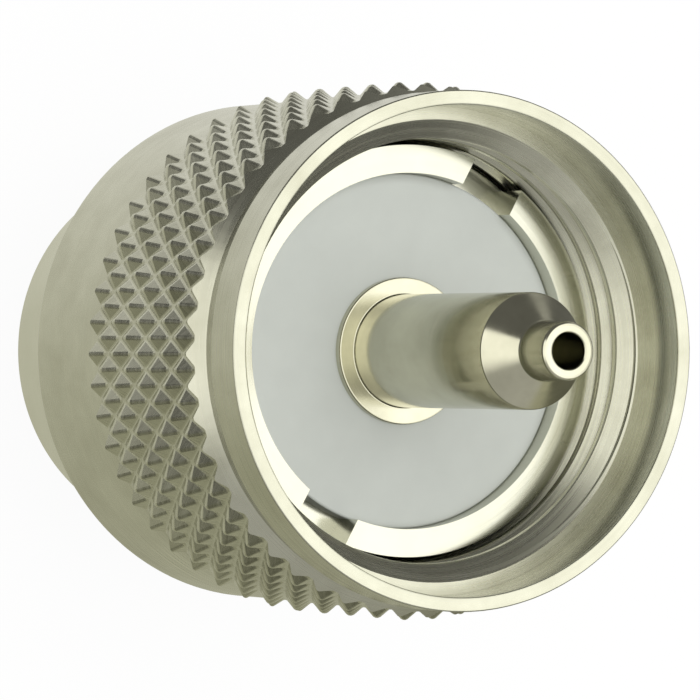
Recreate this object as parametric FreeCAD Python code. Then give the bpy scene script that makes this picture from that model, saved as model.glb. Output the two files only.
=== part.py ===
# A solder-type UHF cable plug for thin coaxial cable, without its cable.
# All sizes are in millimetres. The plug stands on the flat rear end of its hood, the origin
# is the middle of that end, and +Z points out of the mating end.

import FreeCAD, Part
import math
import os

# Coupling thread of the UHF pattern: 5/8 inch, 24 threads to the inch.
THREAD_MAJOR_RADIUS = 15.875 / 2
THREAD_PITCH = 25.4 / 24

# Plug body: one turned piece with a flange, a neck and a hood for the cable.
HOOD_STEP = 0.6
HOOD_LENGTH = 8.3
HOOD_END_CHAMFER = 0.4
NECK_STEP = 1.08
NECK_LENGTH = 6.8
NECK_WALL = 1.4
FLANGE_CLEARANCE = 0.18
FLANGE_LENGTH = 3.4
FLANGE_EDGE_CHAMFER = 0.1
SLOT_WIDTH = 2.15
SLOT_DEPTH = 1.4
CABLE_BORE_RADIUS = 3.1
CABLE_BORE_CHAMFER = 0.35
SOLDER_HOLE_RADIUS = 1.3
SOLDER_HOLE_COUNT = 4
SOLDER_HOLE_HEIGHT = 4.2

# Insulator: a disc in the flange with a boss behind it in the neck.
INSULATOR_RECESS = 0.72
INSULATOR_DISC_WALL = 0.98
INSULATOR_DISC_LENGTH = 1.98
INSULATOR_BOSS_LENGTH = 4.5
INSULATOR_REAR_RECESS = 0.6

# Centre pin: hollow, with a shoulder on the insulator, a cone and a thin open nose.
PIN_RADIUS = 1.98
PIN_REACH = 11.0
PIN_SHOULDER_RADIUS = 2.57
PIN_SHOULDER_LENGTH = 0.27
PIN_NOSE_RADIUS = 0.98
PIN_NOSE_LENGTH = 1.6
PIN_NOSE_EDGE = 0.12
PIN_CONE_LENGTH = 0.9
PIN_WIRE_BORE_RADIUS = 1.2
PIN_NOSE_BORE_RADIUS = 0.615
PIN_STEM_STEP = 0.28
PIN_ROLLED_RADIUS = 2.4
PIN_ROLLED_LENGTH = 0.4

# Coupling ring: one turned and knurled piece.
RING_LENGTH = 15.7
RING_RIM_WALL = 0.5
RING_COLLAR_LENGTH = 2.45
RING_RIM_ROUNDING = 0.24
RING_UNDERCUT_DEPTH = 0.21
RING_UNDERCUT_LENGTH = 0.8
RING_FRONT_CHAMFER_LENGTH = 0.71
RING_SLEEVE_STEP = 0.04
RING_SLEEVE_LENGTH = 5.25
RING_SLEEVE_CHAMFER = 0.2
RING_LEAD_IN_DEPTH = 0.5
RING_LEAD_IN_LENGTH = 2.0
RING_RELIEF_DEPTH = 0.11
RING_RELIEF_LENGTH = 1.7
RING_FRONT_LAND_LENGTH = 0.6
RING_REAR_LAND_LENGTH = 1.5

# Diamond knurl of the ring.
KNURL_HEIGHT = 0.42
KNURL_DEPTH = 0.45
KNURL_COUNT = 52
KNURL_ANGLE = 30.0
KNURL_FRONT_OFFSET = 0.2
KNURL_PHASE = -0.9

# Retaining ring: a split spring ring in a groove of the coupling ring, on the body's neck.
RETAINER_WIDTH = 1.3
RETAINER_THICKNESS = 0.8
RETAINER_SPLIT = 1.6

# Clearances and allowances.
RUNNING_CLEARANCE = 0.07
GROOVE_SIDE_CLEARANCE = 0.05
GROOVE_SPRING_ROOM = 0.6
ROLL_CLEARANCE = 0.15
STOP_GAP = 0.05
CUT_ALLOWANCE = 1.0

# Thread form: the crest of an internal thread stands 0.54127 of a pitch inside its root.
THREAD_HEIGHT_PER_PITCH = 0.54127
thread_minor_radius = THREAD_MAJOR_RADIUS - THREAD_HEIGHT_PER_PITCH * THREAD_PITCH

# Radii of the body, from the thread that its flange passes through inwards, and of the pin's
# stem and rolled end in the insulator.
flange_radius = thread_minor_radius - FLANGE_CLEARANCE
neck_radius = flange_radius - NECK_STEP
hood_radius = neck_radius + HOOD_STEP
insulator_disc_radius = flange_radius - INSULATOR_DISC_WALL
insulator_boss_radius = neck_radius - NECK_WALL
pin_stem_radius = PIN_RADIUS - PIN_STEM_STEP
roll_recess_radius = PIN_ROLLED_RADIUS + ROLL_CLEARANCE

# Radii of the coupling ring, from its thread outwards.
relief_radius = THREAD_MAJOR_RADIUS + RING_RELIEF_DEPTH
lead_in_radius = THREAD_MAJOR_RADIUS + RING_LEAD_IN_DEPTH
collar_radius = lead_in_radius + RING_RIM_WALL
corner_radius = collar_radius - RING_UNDERCUT_DEPTH
sleeve_radius = collar_radius + RING_SLEEVE_STEP
knurl_crest_radius = sleeve_radius + KNURL_HEIGHT

# Radii where the two rings run on the body.
ring_land_radius = hood_radius + RUNNING_CLEARANCE
retainer_inner_radius = neck_radius + RUNNING_CLEARANCE
retainer_outer_radius = retainer_inner_radius + RETAINER_WIDTH
groove_radius = retainer_outer_radius + GROOVE_SPRING_ROOM

# Heights of the body, from the standing face up.
flange_rear_z = HOOD_LENGTH + NECK_LENGTH
flange_face_z = flange_rear_z + FLANGE_LENGTH
insulator_face_z = flange_face_z - INSULATOR_RECESS
insulator_step_z = insulator_face_z - INSULATOR_DISC_LENGTH
insulator_rear_z = insulator_step_z - INSULATOR_BOSS_LENGTH

# Heights of the pin.
pin_tip_z = flange_face_z + PIN_REACH
pin_nose_z = pin_tip_z - PIN_NOSE_LENGTH
pin_cone_z = pin_nose_z - PIN_CONE_LENGTH
pin_roll_z = insulator_rear_z + INSULATOR_REAR_RECESS
pin_rear_z = pin_roll_z - PIN_ROLLED_LENGTH

# Heights of the retaining ring and the coupling ring, slid back onto the hood's shoulder.
retainer_rear_z = HOOD_LENGTH + STOP_GAP
retainer_front_z = retainer_rear_z + RETAINER_THICKNESS
groove_rear_z = retainer_rear_z - GROOVE_SIDE_CLEARANCE
groove_front_z = retainer_front_z + GROOVE_SIDE_CLEARANCE
ring_rear_z = groove_rear_z - RING_REAR_LAND_LENGTH
ring_shoulder_z = groove_front_z + RING_FRONT_LAND_LENGTH
ring_rim_z = ring_rear_z + RING_LENGTH
collar_rear_z = ring_rim_z - RING_COLLAR_LENGTH
lead_in_rear_z = ring_rim_z - RING_LEAD_IN_LENGTH
thread_rear_z = ring_shoulder_z + RING_RELIEF_LENGTH
knurl_rear_z = ring_rear_z + RING_SLEEVE_LENGTH
knurl_chamfer_z = collar_rear_z - RING_FRONT_CHAMFER_LENGTH


def turned(outline):
    """A solid of revolution about Z from a closed outline of (radius, height) corners."""
    corners = [FreeCAD.Vector(radius, 0, height) for radius, height in outline]
    face = Part.Face(Part.makePolygon(corners + corners[:1]))
    return face.revolve(FreeCAD.Vector(0, 0, 0), FreeCAD.Vector(0, 0, 1), 360)


def rod(radius, low_z, high_z):
    """A plain cylinder on the axis between two heights."""
    return Part.makeCylinder(radius, high_z - low_z, FreeCAD.Vector(0, 0, low_z))


def round_edges(solid, radius, height):
    """The circular edges of a solid that have this radius and lie at this height."""
    found = []
    for edge in solid.Edges:
        curve = edge.Curve
        if not isinstance(curve, Part.Circle):
            continue
        if abs(curve.Radius - radius) < 1e-6 and abs(curve.Center.z - height) < 1e-6:
            found.append(edge)
    return found


def plug_body():
    """The turned body: hood, neck and slotted flange, bored for the insulator and the cable."""
    blank = turned([
        (0, 0),
        (hood_radius, 0),
        (hood_radius, HOOD_LENGTH),
        (neck_radius, HOOD_LENGTH),
        (neck_radius, flange_rear_z),
        (flange_radius, flange_rear_z),
        (flange_radius, flange_face_z),
        (0, flange_face_z),
    ])
    blank = blank.makeChamfer(HOOD_END_CHAMFER, round_edges(blank, hood_radius, 0))
    blank = blank.makeChamfer(FLANGE_EDGE_CHAMFER, round_edges(blank, flange_radius, flange_face_z))
    bores = turned([
        (0, -CUT_ALLOWANCE),
        (CABLE_BORE_RADIUS + CABLE_BORE_CHAMFER, -CUT_ALLOWANCE),
        (CABLE_BORE_RADIUS + CABLE_BORE_CHAMFER, 0),
        (CABLE_BORE_RADIUS, CABLE_BORE_CHAMFER),
        (CABLE_BORE_RADIUS, insulator_rear_z),
        (insulator_boss_radius, insulator_rear_z),
        (insulator_boss_radius, insulator_step_z),
        (insulator_disc_radius, insulator_step_z),
        (insulator_disc_radius, flange_face_z + CUT_ALLOWANCE),
        (0, flange_face_z + CUT_ALLOWANCE),
    ])
    return blank.cut([bores, flange_slots()] + solder_holes())


def flange_slots():
    """One bar across the flange, which leaves a slot on each side of the insulator."""
    length = 2 * flange_radius + 2 * CUT_ALLOWANCE
    corner = FreeCAD.Vector(-length / 2, -SLOT_WIDTH / 2, flange_face_z - SLOT_DEPTH)
    return Part.makeBox(length, SLOT_WIDTH, SLOT_DEPTH + CUT_ALLOWANCE, corner)


def solder_holes():
    """Radial holes through the hood, where the cable's braid is soldered."""
    holes = []
    for index in range(SOLDER_HOLE_COUNT):
        angle = 2 * math.pi * (index + 0.5) / SOLDER_HOLE_COUNT
        outward = FreeCAD.Vector(math.cos(angle), math.sin(angle), 0)
        start = FreeCAD.Vector(0, 0, SOLDER_HOLE_HEIGHT)
        length = hood_radius + CUT_ALLOWANCE
        holes.append(Part.makeCylinder(SOLDER_HOLE_RADIUS, length, start, outward))
    return holes


def insulator():
    """The moulded insulator: a disc in the flange and a boss in the neck, bored for the pin."""
    blank = turned([
        (0, insulator_rear_z),
        (insulator_boss_radius, insulator_rear_z),
        (insulator_boss_radius, insulator_step_z),
        (insulator_disc_radius, insulator_step_z),
        (insulator_disc_radius, insulator_face_z),
        (0, insulator_face_z),
    ])
    hole = rod(pin_stem_radius, insulator_rear_z, insulator_face_z + CUT_ALLOWANCE)
    recess = rod(roll_recess_radius, insulator_rear_z - CUT_ALLOWANCE, pin_roll_z)
    return blank.cut([hole, recess])


def centre_pin():
    """The hollow pin, held by its shoulder in front and its rolled end behind the insulator."""
    cone_bore_z = pin_cone_z - (PIN_WIRE_BORE_RADIUS - PIN_NOSE_BORE_RADIUS)
    return turned([
        (PIN_WIRE_BORE_RADIUS, pin_rear_z),
        (PIN_ROLLED_RADIUS, pin_rear_z),
        (PIN_ROLLED_RADIUS, pin_roll_z),
        (pin_stem_radius, pin_roll_z),
        (pin_stem_radius, insulator_face_z),
        (PIN_SHOULDER_RADIUS, insulator_face_z),
        (PIN_SHOULDER_RADIUS, insulator_face_z + PIN_SHOULDER_LENGTH),
        (PIN_RADIUS, insulator_face_z + PIN_SHOULDER_LENGTH),
        (PIN_RADIUS, pin_cone_z),
        (PIN_NOSE_RADIUS, pin_nose_z),
        (PIN_NOSE_RADIUS, pin_tip_z - PIN_NOSE_EDGE),
        (PIN_NOSE_RADIUS - PIN_NOSE_EDGE, pin_tip_z),
        (PIN_NOSE_BORE_RADIUS, pin_tip_z),
        (PIN_NOSE_BORE_RADIUS, pin_cone_z),
        (PIN_WIRE_BORE_RADIUS, cone_bore_z),
    ])


def retaining_ring():
    """A split ring of spring wire of rectangular section."""
    ring = rod(retainer_outer_radius, retainer_rear_z, retainer_front_z)
    hole = rod(
        retainer_inner_radius,
        retainer_rear_z - CUT_ALLOWANCE,
        retainer_front_z + CUT_ALLOWANCE,
    )
    corner = FreeCAD.Vector(0, -RETAINER_SPLIT / 2, retainer_rear_z - CUT_ALLOWANCE)
    split = Part.makeBox(
        retainer_outer_radius + CUT_ALLOWANCE,
        RETAINER_SPLIT,
        RETAINER_THICKNESS + 2 * CUT_ALLOWANCE,
        corner,
    )
    return ring.cut([hole, split])


def knurled_core():
    """A bar with a diamond knurl all round it, longer than the ring's knurled band.

    Two families of grooves cross on a lattice of half pitches. Where they cross, a corner lies
    at the root radius, and between the crossings a diamond rises to its crest.
    """
    step_angle = math.pi / KNURL_COUNT
    step_round = knurl_crest_radius * step_angle
    step_along = step_round / math.tan(math.radians(KNURL_ANGLE))
    first_z = collar_rear_z - KNURL_FRONT_OFFSET
    rows = math.ceil((first_z - knurl_rear_z) / step_along) + 2
    top_z = first_z + step_along

    def corner(column, row):
        """The lattice corner in a column and a row, counted back from one above the band."""
        crossing = (column + row) % 2 == 1
        radius = knurl_crest_radius - KNURL_DEPTH if crossing else knurl_crest_radius
        angle = math.radians(KNURL_PHASE) + column * step_angle
        return FreeCAD.Vector(
            radius * math.cos(angle),
            radius * math.sin(angle),
            top_z - row * step_along,
        )

    faces = []
    for row in range(rows):
        for column in range(2 * KNURL_COUNT):
            square = [
                corner(column, row),
                corner(column + 1, row),
                corner(column + 1, row + 1),
                corner(column, row + 1),
            ]
            # The groove runs along the diagonal that joins the two crossings.
            if (column + row) % 2 == 0:
                square = square[1:] + square[:1]
            faces.append(Part.Face(Part.makePolygon([square[0], square[1], square[2], square[0]])))
            faces.append(Part.Face(Part.makePolygon([square[0], square[2], square[3], square[0]])))
    for row in (0, rows):
        ends = [corner(column, row) for column in range(2 * KNURL_COUNT)]
        faces.append(Part.Face(Part.makePolygon(ends + ends[:1])))
    core = Part.Solid(Part.Shell(faces))
    if core.Volume < 0:
        core.reverse()
    return core


def coupling_ring():
    """The coupling ring: collar, knurled band and plain sleeve outside, thread bore inside."""
    chamfer_drop = knurl_crest_radius - corner_radius
    chamfer_slope = chamfer_drop / RING_FRONT_CHAMFER_LENGTH
    over_crest = knurl_crest_radius + CUT_ALLOWANCE
    band_blank = turned([
        (0, knurl_rear_z),
        (over_crest, knurl_rear_z),
        (over_crest, knurl_chamfer_z - CUT_ALLOWANCE / chamfer_slope),
        (corner_radius, collar_rear_z),
        (0, collar_rear_z),
    ])
    band = band_blank.common(knurled_core())
    collar = turned([
        (0, collar_rear_z),
        (corner_radius, collar_rear_z),
        (collar_radius, collar_rear_z + RING_UNDERCUT_LENGTH),
        (collar_radius, ring_rim_z),
        (0, ring_rim_z),
    ])
    collar = collar.makeFillet(
        RING_RIM_ROUNDING, round_edges(collar, collar_radius, ring_rim_z)
    )
    sleeve = rod(sleeve_radius, ring_rear_z, knurl_rear_z)
    sleeve = sleeve.makeChamfer(
        RING_SLEEVE_CHAMFER, round_edges(sleeve, sleeve_radius, ring_rear_z)
    )
    bores = turned([
        (0, ring_rear_z - CUT_ALLOWANCE),
        (ring_land_radius, ring_rear_z - CUT_ALLOWANCE),
        (ring_land_radius, groove_rear_z),
        (groove_radius, groove_rear_z),
        (groove_radius, groove_front_z),
        (ring_land_radius, groove_front_z),
        (ring_land_radius, ring_shoulder_z),
        (relief_radius, ring_shoulder_z),
        (relief_radius, thread_rear_z),
        (thread_minor_radius, thread_rear_z),
        (thread_minor_radius, lead_in_rear_z - (THREAD_MAJOR_RADIUS - thread_minor_radius)),
        (THREAD_MAJOR_RADIUS, lead_in_rear_z),
        (lead_in_radius, lead_in_rear_z),
        (lead_in_radius, ring_rim_z + CUT_ALLOWANCE),
        (0, ring_rim_z + CUT_ALLOWANCE),
    ])
    return collar.fuse([band, sleeve]).cut(bores)


PIECES = {
    "plug_body": plug_body,
    "insulator": insulator,
    "centre_pin": centre_pin,
    "retaining_ring": retaining_ring,
    "coupling_ring": coupling_ring,
}

os.makedirs("parts", exist_ok=True)
for name, make in PIECES.items():
    piece = make()
    piece.exportStep(f"parts/{name}.step")
    box = piece.BoundBox
    print(
        f"{name}: {len(piece.Solids)} solid, valid {piece.isValid()}, "
        f"volume {piece.Volume:.2f}, z {box.ZMin:.3f} to {box.ZMax:.3f}, "
        f"radius {box.XMax:.3f}"
    )
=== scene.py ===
"""A UHF cable plug: its finished pieces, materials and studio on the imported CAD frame."""

import math
from types import SimpleNamespace

import bmesh
import bpy
from bpy.props import FloatProperty, FloatVectorProperty, IntProperty, PointerProperty
from mathutils import Matrix, Vector


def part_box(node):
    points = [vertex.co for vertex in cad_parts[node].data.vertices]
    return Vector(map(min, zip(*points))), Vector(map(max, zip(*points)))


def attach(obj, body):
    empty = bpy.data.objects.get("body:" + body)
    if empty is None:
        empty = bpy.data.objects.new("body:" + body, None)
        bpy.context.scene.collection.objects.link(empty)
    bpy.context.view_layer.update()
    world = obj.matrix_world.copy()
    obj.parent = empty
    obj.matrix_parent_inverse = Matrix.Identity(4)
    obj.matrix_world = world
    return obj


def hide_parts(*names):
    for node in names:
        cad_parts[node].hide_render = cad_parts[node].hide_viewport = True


bl_info = {
    "name": "UHF Cable Plug",
    "version": (1, 0, 0),
    "blender": (4, 5, 0),
    "location": "3D View > Sidebar > UHF Plug",
    "description": "Builds the finished pieces of a UHF cable plug and a studio for them",
    "category": "Add Mesh",
}

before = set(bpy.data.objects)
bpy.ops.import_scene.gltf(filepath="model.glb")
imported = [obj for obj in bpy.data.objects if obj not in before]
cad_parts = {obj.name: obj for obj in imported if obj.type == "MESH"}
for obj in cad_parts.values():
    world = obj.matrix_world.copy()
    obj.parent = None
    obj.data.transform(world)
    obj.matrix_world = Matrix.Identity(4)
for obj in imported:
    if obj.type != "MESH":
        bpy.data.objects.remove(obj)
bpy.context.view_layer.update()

MM = 0.001
WHITE = (1, 1, 1, 1)

# The photograph's width and height in pixels, and the width of the camera's sensor in mm.
PHOTO_SIDE = 700
SENSOR_WIDTH = 36

# Depth over pitch of an inch thread with flanks at 60 degrees.
THREAD_DEPTH_SHARE = 0.54127

# Faces that meet at less than this many degrees blend into each other.
SMOOTH_ANGLE = 12.0
KNURL_SMOOTH_ANGLE = 8.0

# Flat steps round the turned pieces and along one turn of the thread.
BODY_STEPS = 256
INSULATOR_STEPS = 192
PIN_STEPS = 160
THREAD_STEPS = 180
DRILL_STEPS = 64

# Rounding in mm of edges that have only lost their sharpness.
BROKEN_EDGE = 0.06

# How far in mm the faces before and behind the thread start outside its major radius.
MOUTH_MARGIN = 0.06
THREAD_END_MARGIN = 0.05
SHELF_MARGIN = 0.25

# Lengths in mm of the tools that cut the flange's slots and the solder holes, and the gap
# between a solder hole and the rings of edges beside it.
SLOT_TOOL_LENGTH = 20
DRILL_LENGTH = 10
HOLE_GAP = 0.15

# Edges of the body that turn by more than this many degrees are rounded.
SHARP_EDGE = 35

# The two colours that go into a colour Mix node, and the one that comes out, by socket number.
MIX_FIRST = 6
MIX_SECOND = 7
MIX_RESULT = 2


# Helpers for sizes, colours and objects.

def linear(hex_colour):
    """The linear colour of an sRGB hex value such as "#C0B8A8"."""
    parts = [int(hex_colour[start:start + 2], 16) / 255 for start in (1, 3, 5)]
    return tuple(
        part / 12.92 if part <= 0.04045 else ((part + 0.055) / 1.055) ** 2.4
        for part in parts
    )


def length(name, description, millimetres):
    """A length property with its default given in millimetres."""
    return FloatProperty(
        name=name,
        description=description,
        default=millimetres * MM,
        min=0,
        unit="LENGTH",
        precision=6,
    )


def colour(name, description, hex_colour):
    """A colour property with its default given as an sRGB hex value."""
    return FloatVectorProperty(
        name=name,
        description=description,
        default=linear(hex_colour),
        min=0,
        max=1,
        subtype="COLOR",
    )


def in_mm(group):
    """The lengths of a property group in millimetres, by name."""
    lengths = {
        name: getattr(group, name) / MM
        for name, item in group.bl_rna.properties.items()
        if item.type == "FLOAT" and item.unit == "LENGTH"
    }
    return SimpleNamespace(**lengths)


def heights_of(node):
    """The lowest and highest height of a CAD node in millimetres."""
    low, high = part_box(node)
    return low.z / MM, high.z / MM


def new_piece(name, bm, material, smooth_angle=SMOOTH_ANGLE):
    """An object in metres from a bmesh in millimetres, with one material.

    The small smoothing angle keeps broad faces flat, so that only round faces blend.
    """
    bmesh.ops.recalc_face_normals(bm, faces=bm.faces)
    bmesh.ops.scale(bm, vec=(MM, MM, MM), verts=bm.verts)
    mesh = bpy.data.meshes.new(name)
    bm.to_mesh(mesh)
    bm.free()
    mesh.shade_smooth()
    mesh.set_sharp_from_angle(angle=math.radians(smooth_angle))
    mesh.materials.append(material)
    piece = bpy.data.objects.new(name, mesh)
    bpy.context.scene.collection.objects.link(piece)
    return piece


def bake_modifiers(piece):
    """Put the result of the modifiers into the piece's own mesh."""
    depsgraph = bpy.context.evaluated_depsgraph_get()
    piece.data = bpy.data.meshes.new_from_object(piece.evaluated_get(depsgraph))
    piece.modifiers.clear()


# Helpers for turned shapes, which work in millimetres.

def edges_in(geometry):
    """The edges in a list of mesh elements."""
    return [item for item in geometry if isinstance(item, bmesh.types.BMEdge)]


def wire(bm, points, closed):
    """A chain of edges through the points."""
    verts = [bm.verts.new(point) for point in points]
    chain = [bm.edges.new(pair) for pair in zip(verts, verts[1:])]
    if closed:
        chain.append(bm.edges.new((verts[-1], verts[0])))
    return chain


def cut_away(bm, point, outward):
    """Remove what lies beyond a plane, and return the edges of the cut."""
    geometry = bm.verts[:] + bm.edges[:] + bm.faces[:]
    cut = bmesh.ops.bisect_plane(
        bm, geom=geometry, dist=1e-5, plane_co=point, plane_no=outward, clear_outer=True
    )
    return edges_in(cut["geom_cut"])


def soften(bm, edges, width, segments=2):
    """Round edges off."""
    bmesh.ops.bevel(
        bm,
        geom=edges,
        offset=width,
        offset_type="OFFSET",
        segments=segments,
        profile=0.5,
        affect="EDGES",
        clamp_overlap=True,
        material=-1,
    )


def round_edges(bm, radius, height):
    """The edges of a turned shape that run round it at a radius and a height."""
    found = []
    for edge in bm.edges:
        if all(
            abs(vert.co.xy.length - radius) < 1e-4 and abs(vert.co.z - height) < 1e-4
            for vert in edge.verts
        ):
            found.append(edge)
    return found


def turned(outline, steps):
    """A closed shape turned about the axis from corners of (radius, height, edge rounding)."""
    bm = bmesh.new()
    chain = wire(bm, [(radius, 0, height) for radius, height, rounding in outline], True)
    bmesh.ops.spin(
        bm,
        geom=bm.verts[:] + chain,
        cent=(0, 0, 0),
        axis=(0, 0, 1),
        angle=2 * math.pi,
        steps=steps,
        use_merge=True,
    )
    bmesh.ops.remove_doubles(bm, verts=bm.verts, dist=1e-4)
    bmesh.ops.recalc_face_normals(bm, faces=bm.faces)
    for radius, height, rounding in outline:
        if rounding:
            soften(bm, round_edges(bm, radius, height), rounding, 3)
    return bm


def pull_through(bm, edges, corners):
    """Extrude a row of edges through (height, radius) corners of an unrolled shape."""
    for height, radius in corners:
        made = bmesh.ops.extrude_edge_only(bm, edges=edges)["geom"]
        verts = {item for item in made if isinstance(item, bmesh.types.BMVert)}
        edges = [edge for edge in edges_in(made) if set(edge.verts) <= verts]
        for vert in verts:
            vert.co.y = height
            vert.co.z = radius
    return edges


def row_edges(bm, height, radius):
    """The edges of an unrolled shape that lie at a height and a radius."""
    found = []
    for edge in bm.edges:
        if all(
            abs(vert.co.y - height) < 1e-4 and abs(vert.co.z - radius) < 1e-4
            for vert in edge.verts
        ):
            found.append(edge)
    return found


def roll_up(bm, unrolled_radius, start_angle):
    """Bend an unrolled shape round the axis: x becomes the angle, y the height, z the radius."""
    for vert in bm.verts:
        angle = start_angle + vert.co.x / unrolled_radius
        height = vert.co.y
        radius = vert.co.z
        vert.co = (radius * math.cos(angle), radius * math.sin(angle), height)
    bmesh.ops.remove_doubles(bm, verts=bm.verts, dist=1e-4)


# Material helpers.

def add_node(tree, kind, settings=None, inputs=None):
    """Add a node with its settings, and set or link its inputs."""
    node = tree.nodes.new(kind)
    for name, value in (settings or {}).items():
        setattr(node, name, value)
    for socket, value in (inputs or {}).items():
        if isinstance(value, bpy.types.NodeSocket):
            tree.links.new(value, node.inputs[socket])
        else:
            node.inputs[socket].default_value = value
    return node


def new_material(name):
    """An empty material and its node tree with an output."""
    material = bpy.data.materials.new(name)
    material.use_nodes = True
    tree = material.node_tree
    tree.nodes.clear()
    return material, tree


def per_metre(size_mm):
    """The scale of a pattern whose features are this large."""
    return 1 / (size_mm * MM)


def opaque(rgb):
    """A colour with full alpha."""
    return (*rgb, 1.0)


def turning_lines(tree, spacing_mm):
    """Fine lines that run round the axis, as a lathe tool leaves them, from 0 to 1.

    Real ones lie about 0.05 mm apart. They are drawn coarser, so that they show.
    """
    place = add_node(tree, "ShaderNodeTexCoord")
    parts = add_node(tree, "ShaderNodeSeparateXYZ", inputs={0: place.outputs["Object"]})
    flat = add_node(tree, "ShaderNodeCombineXYZ", inputs={0: parts.outputs[0], 1: parts.outputs[1]})
    radius = add_node(tree, "ShaderNodeVectorMath", {"operation": "LENGTH"}, {0: flat.outputs[0]})
    around = add_node(
        tree, "ShaderNodeVectorMath", {"operation": "NORMALIZE"}, {0: flat.outputs[0]}
    )
    along = add_node(
        tree,
        "ShaderNodeMath",
        {"operation": "MULTIPLY_ADD"},
        {0: parts.outputs[2], 1: 1.7, 2: radius.outputs["Value"]},
    )
    lines = add_node(
        tree,
        "ShaderNodeMath",
        {"operation": "MULTIPLY"},
        {0: along.outputs[0], 1: per_metre(spacing_mm)},
    )
    turns = add_node(
        tree,
        "ShaderNodeVectorMath",
        {"operation": "SCALE"},
        {0: around.outputs[0], "Scale": 0.7},
    )
    turned_parts = add_node(tree, "ShaderNodeSeparateXYZ", inputs={0: turns.outputs[0]})
    vector = add_node(
        tree,
        "ShaderNodeCombineXYZ",
        inputs={0: turned_parts.outputs[0], 1: turned_parts.outputs[1], 2: lines.outputs[0]},
    )
    noise = add_node(
        tree,
        "ShaderNodeTexNoise",
        inputs={"Vector": vector.outputs[0], "Scale": 1.0, "Detail": 3.0, "Roughness": 0.6},
    )
    return place, noise.outputs["Fac"]


def nickel_plate(name, base, shade, roughness, line_spacing_mm, line_depth_mm):
    """Nickel plate on turned brass: warm grey metal with fine lathe lines and faint stains."""
    material, tree = new_material(name)
    place, lines = turning_lines(tree, line_spacing_mm)
    stains = add_node(
        tree,
        "ShaderNodeTexNoise",
        inputs={
            "Vector": place.outputs["Object"],
            "Scale": per_metre(2.5),
            "Detail": 4.0,
            "Roughness": 0.6,
        },
    )
    stain_amount = add_node(
        tree,
        "ShaderNodeMapRange",
        inputs={
            "Value": stains.outputs["Fac"],
            "From Min": 0.35,
            "From Max": 0.75,
            "To Min": 0.0,
            "To Max": 0.6,
        },
    )
    tint = add_node(
        tree,
        "ShaderNodeMix",
        {"data_type": "RGBA"},
        {"Factor": stain_amount.outputs[0], MIX_FIRST: opaque(base), MIX_SECOND: opaque(shade)},
    )
    gloss = add_node(
        tree,
        "ShaderNodeMapRange",
        inputs={
            "Value": lines,
            "From Min": 0.3,
            "From Max": 0.7,
            "To Min": roughness * 0.8,
            "To Max": roughness * 1.25,
        },
    )
    bump = add_node(
        tree,
        "ShaderNodeBump",
        inputs={"Strength": 1.0, "Distance": line_depth_mm * MM, "Height": lines},
    )
    shader = add_node(
        tree,
        "ShaderNodeBsdfPrincipled",
        inputs={
            "Base Color": tint.outputs[MIX_RESULT],
            "Metallic": 1.0,
            "Roughness": gloss.outputs[0],
            "Normal": bump.outputs[0],
        },
    )
    add_node(tree, "ShaderNodeOutputMaterial", inputs={0: shader.outputs[0]})
    return material


def moulded_insulator(name, base):
    """Moulded insulating plastic: matt, pale and faintly mottled."""
    material, tree = new_material(name)
    place = add_node(tree, "ShaderNodeTexCoord")
    mottle = add_node(
        tree,
        "ShaderNodeTexNoise",
        inputs={"Vector": place.outputs["Object"], "Scale": per_metre(1.2), "Detail": 5.0},
    )
    darker = tuple(part * 0.9 for part in base)
    tint = add_node(
        tree,
        "ShaderNodeMix",
        {"data_type": "RGBA"},
        {"Factor": mottle.outputs["Fac"], MIX_FIRST: opaque(base), MIX_SECOND: opaque(darker)},
    )
    grain = add_node(
        tree,
        "ShaderNodeTexNoise",
        inputs={"Vector": place.outputs["Object"], "Scale": per_metre(0.08), "Detail": 2.0},
    )
    bump = add_node(
        tree,
        "ShaderNodeBump",
        inputs={"Strength": 0.5, "Distance": 0.004 * MM, "Height": grain.outputs["Fac"]},
    )
    shader = add_node(
        tree,
        "ShaderNodeBsdfPrincipled",
        inputs={
            "Base Color": tint.outputs[MIX_RESULT],
            "Roughness": 0.55,
            "IOR": 1.45,
            "Normal": bump.outputs[0],
        },
    )
    add_node(tree, "ShaderNodeOutputMaterial", inputs={0: shader.outputs[0]})
    return material


# Sizes and colours that a user would change.

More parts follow.
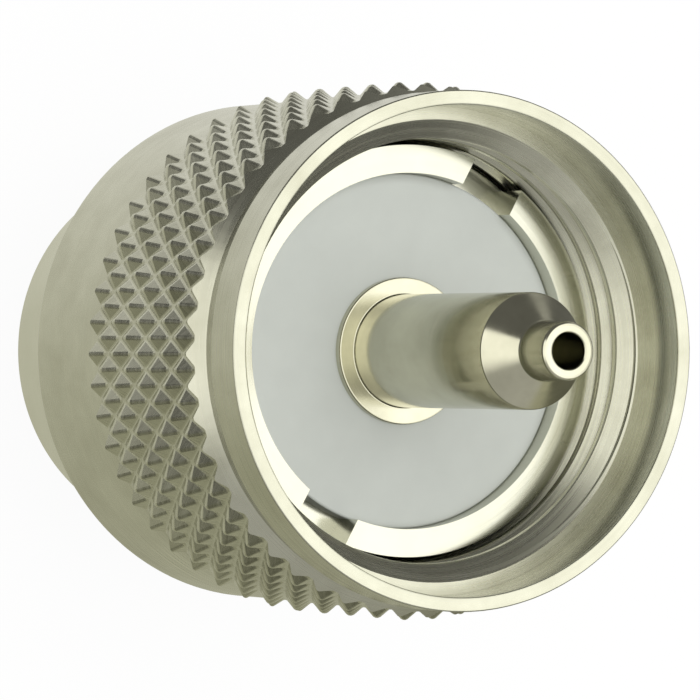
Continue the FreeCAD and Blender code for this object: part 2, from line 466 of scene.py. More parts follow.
class CouplingRingSizes(bpy.types.PropertyGroup):
    """Sizes of the coupling ring, as it is turned and knurled."""

    rim_wall: length("Rim wall", "Wall of the collar at the rim", 0.5)
    lead_in_depth: length("Lead-in depth", "How far the lead-in lies outside the thread", 0.5)
    lead_in_length: length("Lead-in length", "Depth of the smooth lead-in behind the rim", 2.0)
    collar_length: length("Collar length", "Length of the plain collar", 2.45)
    rim_rounding: length("Rim rounding", "Rounding of the rim's outer edge", 0.06)
    undercut_depth: length("Undercut depth", "Depth of the cone behind the collar", 0.21)
    undercut_length: length("Undercut length", "Length of the cone behind the collar", 0.8)
    chamfer_length: length("Chamfer length", "Length of the knurl's front chamfer", 0.71)
    sleeve_step: length("Sleeve step", "How far the sleeve stands above the collar", 0.04)
    sleeve_length: length("Sleeve length", "Length of the plain sleeve behind the knurl", 5.25)
    sleeve_chamfer: length("Sleeve chamfer", "Chamfer of the sleeve's rear edge", 0.2)
    knurl_height: length("Knurl height", "Height of the knurl's crests above the sleeve", 0.45)
    knurl_depth: length("Knurl depth", "Depth of the knurl's grooves", 0.45)
    knurl_offset: length("Knurl offset", "From the collar to the first row of crossings", 0.2)
    knurl_rounding: length("Knurl rounding", "Rounding of the knurl's ridges and grooves", 0.1)
    knurl_count: IntProperty(
        name="Knurl count",
        description="Diamonds round the ring",
        default=52,
        min=12,
    )
    knurl_angle: FloatProperty(
        name="Knurl angle",
        description="Angle of the grooves to the axis",
        default=math.radians(30),
        subtype="ANGLE",
    )
    knurl_phase: FloatProperty(
        name="Knurl phase",
        description="Angle of the first crossing in the front row",
        default=math.radians(-0.9),
        subtype="ANGLE",
    )
    thread_major: length("Thread major radius", "Radius of the 5/8 inch coupling thread", 7.9375)
    thread_pitch: length("Thread pitch", "One pitch of 24 threads to the inch", 25.4 / 24)
    thread_rounding: length("Thread rounding", "Rounding of the thread's crests and roots", 0.04)
    relief_depth: length("Relief depth", "How far the relief lies outside the thread", 0.11)
    relief_length: length("Relief length", "Length of the relief behind the thread", 1.7)
    land_radius: length("Land radius", "Radius of the lands beside the groove", 6.774)
    groove_radius: length("Groove radius", "Radius of the retaining ring's groove", 8.074)
    rear_land_length: length("Rear land length", "Length of the land behind the groove", 1.5)
    groove_width: length("Groove width", "Width of the retaining ring's groove", 0.9)
    front_land_length: length("Front land length", "Length of the land before the groove", 0.6)


class PlugSizes(bpy.types.PropertyGroup):
    """Sizes of the plug body, the insulator and the centre pin."""

    hood_radius: length("Hood radius", "Outer radius of the hood", 6.704)
    hood_length: length("Hood length", "Length of the hood", 8.3)
    hood_chamfer: length("Hood chamfer", "Chamfer of the hood's rear edge", 0.4)
    neck_radius: length("Neck radius", "Outer radius of the neck", 6.104)
    neck_length: length("Neck length", "Length of the neck", 6.8)
    flange_radius: length("Flange radius", "Outer radius of the flange", 7.184)
    bore_radius: length("Bore radius", "Radius of the cable bore", 3.1)
    bore_chamfer: length("Bore chamfer", "Chamfer of the cable bore's mouth", 0.35)
    boss_radius: length("Boss radius", "Radius of the insulator's boss", 4.704)
    disc_radius: length("Disc radius", "Radius of the insulator's disc", 6.204)
    disc_length: length("Disc length", "Length of the insulator's disc", 1.98)
    slot_width: length("Slot width", "Width of the flange's slots", 2.15)
    slot_depth: length("Slot depth", "Depth of the flange's slots", 1.4)
    solder_hole_radius: length("Solder hole radius", "Radius of the hood's solder holes", 1.3)
    solder_hole_height: length("Solder hole height", "Height of the solder holes", 4.2)
    solder_hole_count: IntProperty(
        name="Solder holes",
        description="Solder holes round the hood",
        default=4,
        min=1,
    )
    edge_rounding: length("Edge rounding", "Rounding of the body's edges", 0.05)
    roll_recess_radius: length("Recess radius", "Radius of the recess for the rolled end", 2.55)
    roll_recess_depth: length("Recess depth", "Depth of the recess for the rolled end", 0.6)
    roll_radius: length("Rolled radius", "Radius of the pin's rolled end", 2.4)
    roll_length: length("Rolled length", "Length of the pin's rolled end", 0.4)
    stem_radius: length("Stem radius", "Radius of the pin's stem in the insulator", 1.7)
    shoulder_radius: length("Shoulder radius", "Radius of the pin's shoulder", 2.57)
    shoulder_length: length("Shoulder length", "Thickness of the pin's shoulder", 0.27)
    pin_radius: length("Pin radius", "Radius of the pin", 1.98)
    cone_length: length("Cone length", "Length of the pin's cone", 0.9)
    nose_length: length("Nose length", "Length of the pin's thin nose", 1.6)
    nose_radius: length("Nose radius", "Outer radius of the nose", 0.98)
    nose_bore_radius: length("Nose bore radius", "Radius of the bore in the nose", 0.615)
    wire_bore_radius: length("Wire bore radius", "Radius of the bore for the wire", 1.2)


class FinishColours(bpy.types.PropertyGroup):
    """Colours of the finishes."""

    nickel: colour("Nickel", "Nickel plate of the ring", "#C3C3B4")
    nickel_stain: colour("Nickel stain", "Nickel plate where it has dulled", "#A3A290")
    bright_nickel: colour("Bright nickel", "Nickel plate of the body", "#CECEC1")
    pin_nickel: colour("Pin nickel", "Nickel plate of the pin", "#D0CEBA")
    spring: colour("Spring steel", "Spring steel of the retaining ring", "#8E8E8C")
    insulator: colour("Insulator", "Moulded insulator", "#C8CCC6")


class StudioSettings(bpy.types.PropertyGroup):
    """The camera's place, from the fit to the photograph, and the studio's brightness."""

    tilt: FloatProperty(
        name="Tilt",
        description="Angle between the plug's axis and the line of sight",
        default=math.radians(27.93),
        subtype="ANGLE",
    )
    slot_angle: FloatProperty(
        name="Slot angle",
        description="Angle of the slots round the axis, from the photograph's right",
        default=math.radians(60.4),
        subtype="ANGLE",
    )
    distance: length("Distance", "From the camera to the middle of the rim", 200)
    focal_pixels: FloatProperty(
        name="Focal length in pixels",
        description="Focal length over the size of one pixel of the photograph",
        default=5845.3,
    )
    rim_x: FloatProperty(
        name="Rim middle x",
        description="Pixel column of the middle of the rim",
        default=466.53,
    )
    rim_y: FloatProperty(
        name="Rim middle y",
        description="Pixel row of the middle of the rim",
        default=350.96,
    )
    floor_size: length("Floor size", "Side of the square floor", 1600)
    floor_white: colour("Floor", "Plain pale floor", "#F4F4F2")
    warm_white: colour("Warm white", "Colour of the light that metal sees", "#FFFEF8")
    # Colour of the painted pool of light on its dim side, as metal sees the floor; it is not the
    # floor's own colour.
    pool_dim_glow_colour: colour("Floor tint", "Colour of the floor's dull side, as metal sees it", "#FFFEDE")
    pool_radius: length("Pool radius", "Radius of the bright floor that metal sees", 33)
    pool_shift: length("Pool shift", "How far the bright floor lies towards its dull side", 4)
    pool_reach: length("Pool reach", "Where the bright floor is brightest and dullest", 16)
    pool_edge: length("Pool edge", "Width of the bright floor's soft edge", 5)
    far_radius: length("Far radius", "Where the floor that metal sees turns grey again", 80)
    far_edge: length("Far edge", "Width of the grey floor's soft edge", 120)
    dim_level: FloatProperty(
        name="Dim level",
        description="Brightness of the dim surround that metal sees",
        default=0.15,
        min=0,
    )
    pool_high: FloatProperty(
        name="Pool high level",
        description="Brightness of the floor beyond the plug in the picture, as metal sees it",
        default=0.83,
        min=0,
    )
    pool_low: FloatProperty(
        name="Pool low level",
        description="Brightness of the floor before the plug in the picture, as metal sees it",
        default=0.31,
        min=0,
    )
    window_level: FloatProperty(
        name="Window level",
        description="Brightness of the wide window behind the camera, as metal sees it",
        default=1.6,
        min=0,
    )
    rim_level: FloatProperty(
        name="Rim lamp level",
        description="Brightness of the lamp that the rim and the flange mirror",
        default=1.9,
        min=0,
    )
    wall_level: FloatProperty(
        name="Wall level",
        description="Brightness of the grey wall below the plug's picture, as metal sees it",
        default=0.55,
        min=0,
    )
    soft_level: FloatProperty(
        name="Soft level",
        description="Brightness of the surround for matt surfaces",
        default=0.7,
        min=0,
    )
    shadow_share: FloatProperty(
        name="Shadow share",
        description="How strongly the floor shows the object's shadow",
        default=0.06,
        min=0,
        max=1,
        subtype="FACTOR",
    )


# The coupling ring.

def knurled_sheet(s, count, groove_angle, top, rear):
    """The knurl unrolled: rows of diamonds between grooves, each a four-sided pyramid."""
    crest = s.crest
    root = crest - s.knurl_depth
    step_round = math.pi * crest / count
    step_along = step_round / math.tan(groove_angle)
    columns = 2 * count + 4
    rows = math.ceil((top - rear) / step_along) + 2
    bm = bmesh.new()
    bmesh.ops.create_grid(bm, x_segments=columns, y_segments=rows, size=0.5)
    bmesh.ops.scale(bm, vec=(columns * step_round, rows * step_along, 1), verts=bm.verts)
    first_height = top - s.knurl_offset + step_along
    middle = ((columns / 2 - 2) * step_round, first_height - rows * step_along / 2, crest)
    bmesh.ops.translate(bm, vec=middle, verts=bm.verts)
    # Crests and crossings of grooves take turns, as the fields of a chessboard do.
    crossings = []
    for vert in bm.verts:
        column = round(vert.co.x / step_round)
        row = round((first_height - vert.co.y) / step_along)
        if (column + row) % 2 == 1:
            vert.co.z = root
            crossings.append(vert)
    grooves = bmesh.ops.connect_verts(bm, verts=crossings)["edges"]
    groove_set = set(grooves)
    ridges = [edge for edge in bm.edges if edge not in groove_set and not edge.is_boundary]
    soften(bm, ridges + grooves, s.knurl_rounding, 3)
    full_turn = 2 * count * step_round
    cut_away(bm, (0, 0, 0), (-1, 0, 0))
    cut_away(bm, (full_turn, 0, 0), (1, 0, 0))
    return bm


def threaded_sheet(s, front, rear):
    """The coupling thread unrolled: a slanted strip that rises one pitch in a turn."""
    pitch = s.thread_pitch
    major = s.thread_major
    minor = major - THREAD_DEPTH_SHARE * pitch
    crest_flat = pitch / 4
    root_flat = pitch / 8
    flank = (pitch - crest_flat - root_flat) / 2
    turns = math.ceil((front - rear) / pitch) + 3
    points = []
    for turn in range(turns):
        start = rear - 2 * pitch + turn * pitch
        points.append((0, start, minor))
        points.append((0, start + crest_flat, minor))
        points.append((0, start + crest_flat + flank, major))
        points.append((0, start + crest_flat + flank + root_flat, major))
    bm = bmesh.new()
    chain = wire(bm, points, False)
    full_turn = 2 * math.pi * major
    made = bmesh.ops.extrude_edge_only(bm, edges=chain)["geom"]
    moved = [item for item in made if isinstance(item, bmesh.types.BMVert)]
    bmesh.ops.translate(bm, vec=(full_turn, pitch, 0), verts=moved)

    def long_edges():
        """The edges that run the whole turn."""
        return [edge for edge in bm.edges if abs(edge.verts[0].co.x - edge.verts[1].co.x) > 1]

    soften(bm, [edge for edge in long_edges() if not edge.is_boundary], s.thread_rounding)
    bmesh.ops.subdivide_edges(bm, edges=long_edges(), cuts=THREAD_STEPS - 1)
    mouth = major + MOUTH_MARGIN
    # The mouth's cone is steeper than the flanks, so each one is cut once.
    front_cut = cut_away(bm, (0, front, mouth), Vector((0, 2, -1)).normalized())
    rear_cut = cut_away(bm, (0, rear, 0), (0, -1, 0))
    pull_through(bm, front_cut, [(front, mouth)])
    pull_through(bm, rear_cut, [(rear, major + THREAD_END_MARGIN)])
    roll_up(bm, major, 0)
    return bm


def make_coupling_ring(sizes):
    """The coupling ring as one closed shell."""
    s = in_mm(sizes)
    rear, rim = heights_of("coupling_ring")
    lead_in_radius = s.thread_major + s.lead_in_depth
    collar_radius = lead_in_radius + s.rim_wall
    corner_radius = collar_radius - s.undercut_depth
    sleeve_radius = collar_radius + s.sleeve_step
    s.crest = sleeve_radius + s.knurl_height
    collar_rear = rim - s.collar_length
    lead_in_rear = rim - s.lead_in_length
    knurl_rear = rear + s.sleeve_length
    groove_rear = rear + s.rear_land_length
    groove_front = groove_rear + s.groove_width
    shoulder = groove_front + s.front_land_length
    thread_rear = shoulder + s.relief_length
    relief_radius = s.thread_major + s.relief_depth

    # The knurl and the turned faces beside it are made unrolled, and then rolled up together.
    bm = knurled_sheet(s, sizes.knurl_count, sizes.knurl_angle, collar_rear, knurl_rear)
    drop = s.crest - corner_radius
    chamfer_out = Vector((0, drop, s.chamfer_length)).normalized()
    front_cut = cut_away(bm, (0, collar_rear, corner_radius), chamfer_out)
    rear_cut = cut_away(bm, (0, knurl_rear, 0), (0, -1, 0))
    front_corners = [
        (collar_rear, corner_radius),
        (collar_rear + s.undercut_length, collar_radius),
        (rim, collar_radius),
        (rim, lead_in_radius),
        (lead_in_rear, lead_in_radius),
        (lead_in_rear, s.thread_major + SHELF_MARGIN),
    ]
    rear_corners = [
        (knurl_rear, sleeve_radius),
        (rear + s.sleeve_chamfer, sleeve_radius),
        (rear, sleeve_radius - s.sleeve_chamfer),
        (rear, s.land_radius),
        (groove_rear, s.land_radius),
        (groove_rear, s.groove_radius),
        (groove_front, s.groove_radius),
        (groove_front, s.land_radius),
        (shoulder, s.land_radius),
        (shoulder, relief_radius),
        (thread_rear, relief_radius),
    ]
    pull_through(bm, front_cut, front_corners)
    pull_through(bm, rear_cut, rear_corners)
    soften(bm, row_edges(bm, rim, collar_radius), s.rim_rounding, 5)
    soften(bm, row_edges(bm, rim, lead_in_radius), BROKEN_EDGE, 3)
    soften(bm, row_edges(bm, rear + s.sleeve_chamfer, sleeve_radius), BROKEN_EDGE, 2)
    soften(bm, row_edges(bm, rear, sleeve_radius - s.sleeve_chamfer), BROKEN_EDGE, 2)
    roll_up(bm, s.crest, sizes.knurl_phase)

    # The thread is rolled up by itself, and its two ends are joined to the turned faces.
    thread = threaded_sheet(s, lead_in_rear, thread_rear)
    thread_mesh = bpy.data.meshes.new("thread")
    thread.to_mesh(thread_mesh)
    thread.free()
    bm.from_mesh(thread_mesh)
    bpy.data.meshes.remove(thread_mesh)
    for height in (lead_in_rear, thread_rear):
        open_edges = [
            edge for edge in bm.edges
            if edge.is_boundary and all(abs(vert.co.z - height) < 1e-3 for vert in edge.verts)
        ]
        bmesh.ops.triangle_fill(bm, edges=open_edges, normal=(0, 0, 1))
    return bm


class UHFPLUG_OT_coupling_ring(bpy.types.Operator):
    """Build the knurled coupling ring with its thread"""

    bl_idname = "uhf_plug.coupling_ring"
    bl_label = "Coupling ring"

    def execute(self, context):
        colours = context.scene.uhf_finish
        # Satin grey-olive plate: it smears what it mirrors and shows faint lathe lines.
        material = nickel_plate(
            "nickel plate, turned and knurled",
            colours.nickel,
            colours.nickel_stain,
            roughness=0.26,
            line_spacing_mm=0.12,
            line_depth_mm=0.0006,
        )
        bm = make_coupling_ring(context.scene.uhf_ring)
        piece = new_piece("coupling_ring_finished", bm, material, KNURL_SMOOTH_ANGLE)
        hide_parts("coupling_ring")
        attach(piece, "ring")
        return {"FINISHED"}


# The plug body.

def subtract(piece, cutters):
    """Take the cutters out of the piece and remove them."""
    for tool in cutters:
        cut = piece.modifiers.new("cut", "BOOLEAN")
        cut.operation = "DIFFERENCE"
        cut.solver = "EXACT"
        cut.object = tool
    bake_modifiers(piece)
    for tool in cutters:
        bpy.data.objects.remove(tool)


def make_plug_body(sizes, material):
    """The turned body with its slots and solder holes."""
    s = in_mm(sizes)
    face = heights_of("plug_body")[1]
    flange_rear = s.hood_length + s.neck_length
    boss_rear = heights_of("insulator")[0]
    disc_rear = heights_of("insulator")[1] - s.disc_length
    # Edges close below and above the solder holes keep long thin faces away from them.
    hole_reach = s.solder_hole_radius + HOLE_GAP
    blank = turned([
        (s.bore_radius + s.bore_chamfer, 0, 0),
        (s.hood_radius - s.hood_chamfer, 0, 0),
        (s.hood_radius, s.hood_chamfer, 0),
        (s.hood_radius, s.solder_hole_height - hole_reach, 0),
        (s.hood_radius, s.solder_hole_height + hole_reach, 0),
        (s.hood_radius, s.hood_length, 0),
        (s.neck_radius, s.hood_length, 0),
        (s.neck_radius, flange_rear, 0),
        (s.flange_radius, flange_rear, 0),
        (s.flange_radius, face, 0),
        (s.disc_radius, face, 0),
        (s.disc_radius, disc_rear, 0),
        (s.boss_radius, disc_rear, 0),
        (s.boss_radius, boss_rear, 0),
        (s.bore_radius, boss_rear, 0),
        (s.bore_radius, s.bore_chamfer, 0),
    ], BODY_STEPS)
    piece = new_piece("plug_body_finished", blank, material)
    slot = bmesh.new()
    bmesh.ops.create_cube(slot, size=1)
    bmesh.ops.scale(slot, vec=(SLOT_TOOL_LENGTH, s.slot_width, 2 * s.slot_depth), verts=slot.verts)
    bmesh.ops.translate(slot, vec=(0, 0, face), verts=slot.verts)
    cutters = [new_piece("slot", slot, material)]
    for index in range(sizes.solder_hole_count):
        drill = bmesh.new()
        bmesh.ops.create_cone(
            drill,
            cap_ends=True,
            segments=DRILL_STEPS,
            radius1=s.solder_hole_radius,
            radius2=s.solder_hole_radius,
            depth=DRILL_LENGTH,
        )
        bmesh.ops.translate(drill, vec=(0, 0, DRILL_LENGTH / 2), verts=drill.verts)
        angle = 2 * math.pi * (index + 0.5) / sizes.solder_hole_count
        turn = Matrix.Rotation(angle, 4, "Z") @ Matrix.Rotation(math.pi / 2, 4, "Y")
        bmesh.ops.transform(drill, matrix=turn, verts=drill.verts)
        bmesh.ops.translate(drill, vec=(0, 0, s.solder_hole_height), verts=drill.verts)
        cutters.append(new_piece("drill", drill, material))
    subtract(piece, cutters)
    rounding = piece.modifiers.new("edges", "BEVEL")
    rounding.limit_method = "ANGLE"
    rounding.angle_limit = math.radians(SHARP_EDGE)
    rounding.width = s.edge_rounding * MM
    rounding.segments = 2
    bake_modifiers(piece)
    piece.data.shade_smooth()
    piece.data.set_sharp_from_angle(angle=math.radians(SMOOTH_ANGLE))
    return piece


class UHFPLUG_OT_plug_body(bpy.types.Operator):
    """Build the plug body: hood, neck and slotted flange"""

    bl_idname = "uhf_plug.plug_body"
    bl_label = "Plug body"

    def execute(self, context):
        colours = context.scene.uhf_finish
        # Brighter plate that mirrors the lamp white on the flange.
        material = nickel_plate(
            "nickel plate, bright turned",
            colours.bright_nickel,
            colours.nickel,
            roughness=0.18,
            line_spacing_mm=0.1,
            line_depth_mm=0.0003,
        )
        piece = make_plug_body(context.scene.uhf_body, material)
        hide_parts("plug_body")
        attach(piece, "plug")
        return {"FINISHED"}


# The insulator.

class UHFPLUG_OT_insulator(bpy.types.Operator):
    """Build the moulded insulator"""

    bl_idname = "uhf_plug.insulator"
    bl_label = "Insulator"

    def execute(self, context):
        s = in_mm(context.scene.uhf_body)
        low, high = heights_of("insulator")
        step = high - s.disc_length
        bm = turned([
            (s.roll_recess_radius, low, 0),
            (s.boss_radius, low, 0.1),
            (s.boss_radius, step, 0),
            (s.disc_radius, step, 0),
            (s.disc_radius, high, 0.08),
            (s.stem_radius, high, 0.03),
            (s.stem_radius, low + s.roll_recess_depth, 0),
            (s.roll_recess_radius, low + s.roll_recess_depth, 0),
        ], INSULATOR_STEPS)
        # Flat pale grey-white with a soft sheen and no colour of its own.
        material = moulded_insulator(
            "moulded insulating plastic", context.scene.uhf_finish.insulator
        )
        piece = new_piece("insulator_finished", bm, material)
        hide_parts("insulator")
        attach(piece, "plug")
        return {"FINISHED"}


# The centre pin.

class UHFPLUG_OT_centre_pin(bpy.types.Operator):
    """Build the hollow centre pin"""

    bl_idname = "uhf_plug.centre_pin"
    bl_label = "Centre pin"

    def execute(self, context):
        s = in_mm(context.scene.uhf_body)
        rear, tip = heights_of("centre_pin")
        face = heights_of("insulator")[1]
        nose = tip - s.nose_length
        cone = nose - s.cone_length
        shoulder = face + s.shoulder_length
        bm = turned([
            (s.wire_bore_radius, rear, 0.05),
            (s.roll_radius, rear, 0.1),
            (s.roll_radius, rear + s.roll_length, 0.05),
            (s.stem_radius, rear + s.roll_length, 0),
            (s.stem_radius, face, 0),
            (s.shoulder_radius, face, 0),
            (s.shoulder_radius, shoulder, 0.07),
            (s.pin_radius, shoulder, 0.05),
            (s.pin_radius, cone, 0.06),
            (s.nose_radius, nose, 0.1),
            (s.nose_radius, tip, 0.14),
            (s.nose_bore_radius, tip, 0.08),
            (s.nose_bore_radius, cone, 0),
            (s.wire_bore_radius, cone - (s.wire_bore_radius - s.nose_bore_radius), 0),
        ], PIN_STEPS)
        colours = context.scene.uhf_finish
        # Smooth plate with clear edges between the light and the dark that it mirrors.
        material = nickel_plate(
            "nickel plate on the pin",
            colours.pin_nickel,
            colours.nickel_stain,
            roughness=0.16,
            line_spacing_mm=0.15,
            line_depth_mm=0.0004,
        )
        piece = new_piece("centre_pin_finished", bm, material)
        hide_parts("centre_pin")
        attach(piece, "plug")
        return {"FINISHED"}


# The retaining ring.

class UHFPLUG_OT_retaining_ring(bpy.types.Operator):
    """Give the retaining ring its spring steel"""

    bl_idname = "uhf_plug.retaining_ring"
    bl_label = "Retaining ring"

    def execute(self, context):
        colours = context.scene.uhf_finish
        # Darker and duller than the plate, with marks from rolling.
        material = nickel_plate(
            "spring steel, rolled",
            colours.spring,
            colours.nickel_stain,
            roughness=0.3,
            line_spacing_mm=0.1,
            line_depth_mm=0.0005,
        )
        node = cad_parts["retaining_ring"]
        for place in node.material_slots:
            place.material = material
        return {"FINISHED"}


# The stage: floor, surround, lamps and camera.

def camera_turn(studio):
    """The rotation from the plug's axes to the camera's: right, up and back."""
    tilt = studio.tilt
    axis = Vector((math.sin(tilt), 0, math.cos(tilt)))
    across = Vector((math.cos(tilt), 0, -math.sin(tilt)))
    up = Vector((0, 1, 0))
    slots = across * math.cos(studio.slot_angle) + up * math.sin(studio.slot_angle)
    beside = up * math.cos(studio.slot_angle) - across * math.sin(studio.slot_angle)
    return Matrix((slots, beside, axis)).transposed()


def add_camera(studio):
    """The camera of the photograph."""
    turn = camera_turn(studio)
    distance = studio.distance
    rim = heights_of("coupling_ring")[1] * MM
    rim_middle = Vector((
        (studio.rim_x - PHOTO_SIDE / 2) * distance / studio.focal_pixels,
        (PHOTO_SIDE / 2 - studio.rim_y) * distance / studio.focal_pixels,
        -distance,
    ))
    place = Vector((0, 0, rim)) - turn.transposed() @ rim_middle
    data = bpy.data.cameras.new("camera")
    data.sensor_width = SENSOR_WIDTH
    data.lens = SENSOR_WIDTH * studio.focal_pixels / PHOTO_SIDE
    data.clip_start = 0.01
    data.clip_end = 10
    camera = bpy.data.objects.new("camera", data)
    camera.matrix_world = Matrix.Translation(place) @ turn.transposed().to_4x4()
    bpy.context.scene.collection.objects.link(camera)
    bpy.context.scene.camera = camera


def direct_rays(tree):
    """Two factors: one for camera and transmission rays, and one for glossy rays."""
    path = add_node(tree, "ShaderNodeLightPath")
    clear = add_node(
        tree,
        "ShaderNodeMath",
        {"operation": "MAXIMUM"},
        {0: path.outputs["Is Camera Ray"], 1: path.outputs["Is Transmission Ray"]},
    )
    return clear.outputs[0], path.outputs["Is Glossy Ray"]


def soft_step(tree, value, start, width, low, high):
    """A level that goes softly from one value to another as the input passes a stretch."""
    step = add_node(
        tree,
        "ShaderNodeMapRange",
        {"interpolation_type": "SMOOTHSTEP"},
        {
            "Value": value,
            "From Min": start,
            "From Max": start + width,
            "To Min": low,
            "To Max": high,
        },
    )
    return step.outputs[0]


def add_floor(studio):
    """A pale floor, white to the camera with a faint real shadow. To metal it shows a painted pool
    of light: white near the plug and dim further out.
    """
    material, tree = new_material("pale floor")
    clear, glossy = direct_rays(tree)
    matt = add_node(tree, "ShaderNodeBsdfDiffuse", inputs={"Color": opaque(studio.floor_white)})
    white = add_node(tree, "ShaderNodeEmission", inputs={"Color": WHITE, "Strength": 1.0})
    share = add_node(
        tree, "ShaderNodeMath", {"operation": "MULTIPLY"}, {0: clear, 1: 1 - studio.shadow_share}
    )
    seen = add_node(
        tree,
        "ShaderNodeMixShader",
        inputs={0: share.outputs[0], 1: matt.outputs[0], 2: white.outputs[0]},
    )
    # From here on, what glossy rays see is painted light: a glow brighter towards the picture's
    # top, dim beyond the pool, and grey far out. The camera never sees it.
    place = add_node(tree, "ShaderNodeTexCoord")
    picture_up = camera_turn(studio).transposed() @ Vector((0, 1, 0))
    upward = add_node(
        tree,
        "ShaderNodeVectorMath",
        {"operation": "DOT_PRODUCT"},
        {0: place.outputs["Object"], 1: picture_up},
    )
    bright_side = add_node(
        tree,
        "ShaderNodeMapRange",
        inputs={
            "Value": upward.outputs["Value"],
            "From Min": -studio.pool_reach,
            "From Max": studio.pool_reach,
        },
    )
    pool_level = add_node(
        tree,
        "ShaderNodeMapRange",
        inputs={
            "Value": bright_side.outputs[0],
            "To Min": studio.pool_low,
            "To Max": studio.pool_high,
        },
    )
    tint = add_node(
        tree,
        "ShaderNodeMix",
        {"data_type": "RGBA"},
        {
            "Factor": bright_side.outputs[0],
            MIX_FIRST: opaque(studio.pool_dim_glow_colour),
            MIX_SECOND: opaque(studio.warm_white),
        },
    )
    away = add_node(
        tree,
        "ShaderNodeVectorMath",
        {"operation": "DISTANCE"},
        {0: place.outputs["Object"], 1: picture_up * -studio.pool_shift},
    )
    inside = soft_step(tree, away.outputs["Value"], studio.pool_radius, studio.pool_edge, 1.0, 0.0)
    near = add_node(
        tree,
        "ShaderNodeMath",
        {"operation": "MULTIPLY_ADD"},
        {0: inside, 1: pool_level.outputs[0], 2: studio.dim_level},
    )
    far = soft_step(tree, away.outputs["Value"], studio.far_radius, studio.far_edge, 0.0, 0.5)
    level = add_node(tree, "ShaderNodeMath", {"operation": "MAXIMUM"}, {0: near.outputs[0], 1: far})
    pool_light = add_node(
        tree,
        "ShaderNodeEmission",
        inputs={"Color": tint.outputs[MIX_RESULT], "Strength": level.outputs[0]},
    )
    mixed = add_node(
        tree,
        "ShaderNodeMixShader",
        inputs={0: glossy, 1: seen.outputs[0], 2: pool_light.outputs[0]},
    )
    add_node(tree, "ShaderNodeOutputMaterial", inputs={0: mixed.outputs[0]})
    bm = bmesh.new()
    bmesh.ops.create_grid(bm, x_segments=1, y_segments=1, size=studio.floor_size / MM / 2)
    floor = new_piece("floor", bm, material)


def add_surround(studio):
    """A white surround to the camera, a dim one with a window to metal, soft light to the rest."""
    world = bpy.data.worlds.new("surround")
    world.use_nodes = True
    bpy.context.scene.world = world
    tree = world.node_tree
    tree.nodes.clear()
    clear, glossy = direct_rays(tree)
    place = add_node(tree, "ShaderNodeTexCoord")
    to_plug = camera_turn(studio).transposed()

    def along(direction):
        """How far the light's direction points along one in the camera's axes."""
        dot = add_node(
            tree,
            "ShaderNodeVectorMath",
            {"operation": "DOT_PRODUCT"},
            {0: place.outputs["Generated"], 1: (to_plug @ Vector(direction)).normalized()},
        )
        return dot.outputs["Value"]

    def combine(operation, first, second):
        """The result of one sum on two levels."""
        both = add_node(tree, "ShaderNodeMath", {"operation": operation}, {0: first, 1: second})
        return both.outputs[0]

    # Each light's edge is given by where it starts and by the width over which it fades.
    upward = along((0, 1, 0))
    window = combine(
        "MULTIPLY",
        soft_step(tree, upward, 0.46, 0.12, studio.window_level, 0.0),
        soft_step(tree, upward, -0.85, 0.70, 0.0, 1.0),
    )
    window = combine("MULTIPLY", window, soft_step(tree, along((0, 0, 1)), 0.25, 0.2, 0.0, 1.0))
    lamp = soft_step(tree, along((0.83, 0, 0.56)), 0.80, 0.10, 0.0, studio.rim_level)
    low_wall = soft_step(tree, along((-0.25, -0.93, 0.25)), 0.58, 0.10, 0.0, studio.wall_level)
    level = combine("MAXIMUM", combine("MAXIMUM", window, lamp), low_wall)
    level = combine("MAXIMUM", level, studio.dim_level)
    white = add_node(tree, "ShaderNodeBackground", inputs={"Color": WHITE, "Strength": 1.0})
    soft = add_node(
        tree,
        "ShaderNodeBackground",
        inputs={"Color": WHITE, "Strength": studio.soft_level},
    )
    boxes = add_node(
        tree,
        "ShaderNodeBackground",
        inputs={"Color": opaque(studio.warm_white), "Strength": level},
    )
    to_metal = add_node(
        tree,
        "ShaderNodeMixShader",
        inputs={0: glossy, 1: soft.outputs[0], 2: boxes.outputs[0]},
    )
    mixed = add_node(
        tree,
        "ShaderNodeMixShader",
        inputs={0: clear, 1: to_metal.outputs[0], 2: white.outputs[0]},
    )
    add_node(tree, "ShaderNodeOutputWorld", inputs={0: mixed.outputs[0]})


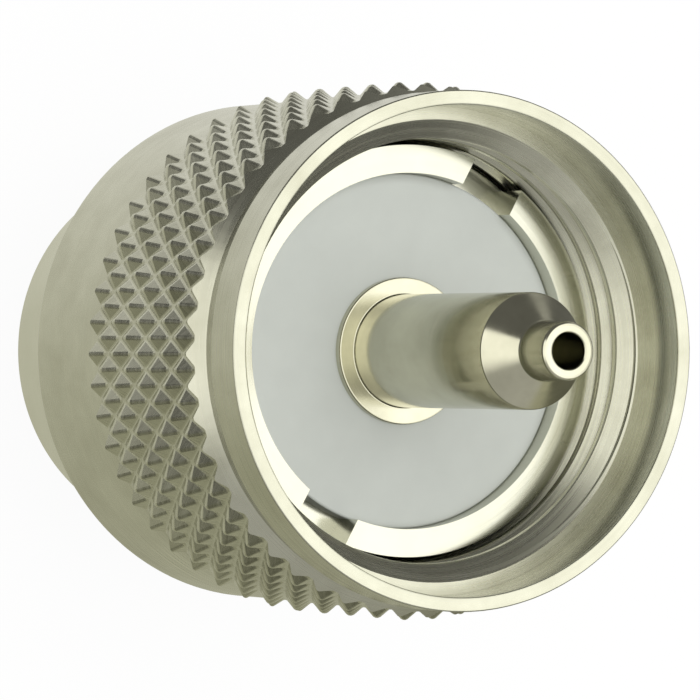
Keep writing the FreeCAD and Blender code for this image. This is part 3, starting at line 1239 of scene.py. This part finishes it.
def add_lamp(name, studio, direction, distance, size, power):
    """A soft square lamp, placed by its direction in the camera's axes."""
    turn = camera_turn(studio).transposed()
    target = Vector((0, 0, heights_of("coupling_ring")[1] * MM))
    outward = (turn @ Vector(direction)).normalized()
    data = bpy.data.lights.new(name, "AREA")
    data.shape = "SQUARE"
    data.size = size
    data.energy = power
    lamp = bpy.data.objects.new(name, data)
    lamp.visible_glossy = False
    lamp.matrix_world = (
        Matrix.Translation(target + outward * distance)
        @ outward.to_track_quat("Z", "Y").to_matrix().to_4x4()
    )
    bpy.context.scene.collection.objects.link(lamp)


class UHFPLUG_OT_stage(bpy.types.Operator):
    """Set up the floor, the surround, the lamps and the camera"""

    bl_idname = "uhf_plug.stage"
    bl_label = "Stage"

    def execute(self, context):
        studio = context.scene.uhf_studio
        add_floor(studio)
        add_surround(studio)
        add_lamp("overhead lamp", studio, (0.47, 0.1, 0.88), 0.3, 0.25, 0.6)
        add_camera(studio)
        context.scene.view_settings.view_transform = "Standard"
        return {"FINISHED"}


class UHFPLUG_PT_pieces(bpy.types.Panel):
    """The steps of the plug in the sidebar"""

    bl_label = "UHF plug"
    bl_space_type = "VIEW_3D"
    bl_region_type = "UI"
    bl_category = "UHF Plug"

    def draw(self, context):
        for operator in OPERATORS:
            self.layout.operator(operator.bl_idname)


OPERATORS = (
    UHFPLUG_OT_plug_body,
    UHFPLUG_OT_insulator,
    UHFPLUG_OT_centre_pin,
    UHFPLUG_OT_retaining_ring,
    UHFPLUG_OT_coupling_ring,
    UHFPLUG_OT_stage,
)

GROUPS = {
    "uhf_ring": CouplingRingSizes,
    "uhf_body": PlugSizes,
    "uhf_finish": FinishColours,
    "uhf_studio": StudioSettings,
}


def register():
    for name, group in GROUPS.items():
        bpy.utils.register_class(group)
        setattr(bpy.types.Scene, name, PointerProperty(type=group))
    for operator in OPERATORS:
        bpy.utils.register_class(operator)
    bpy.utils.register_class(UHFPLUG_PT_pieces)


def unregister():
    bpy.utils.unregister_class(UHFPLUG_PT_pieces)
    for operator in reversed(OPERATORS):
        bpy.utils.unregister_class(operator)
    for name, group in GROUPS.items():
        delattr(bpy.types.Scene, name)
        bpy.utils.unregister_class(group)


def main():
    """Build everything in order."""
    register()
    bpy.ops.uhf_plug.plug_body()
    bpy.ops.uhf_plug.insulator()
    bpy.ops.uhf_plug.centre_pin()
    bpy.ops.uhf_plug.retaining_ring()
    bpy.ops.uhf_plug.coupling_ring()
    bpy.ops.uhf_plug.stage()


if __name__ == "__main__":
    main()
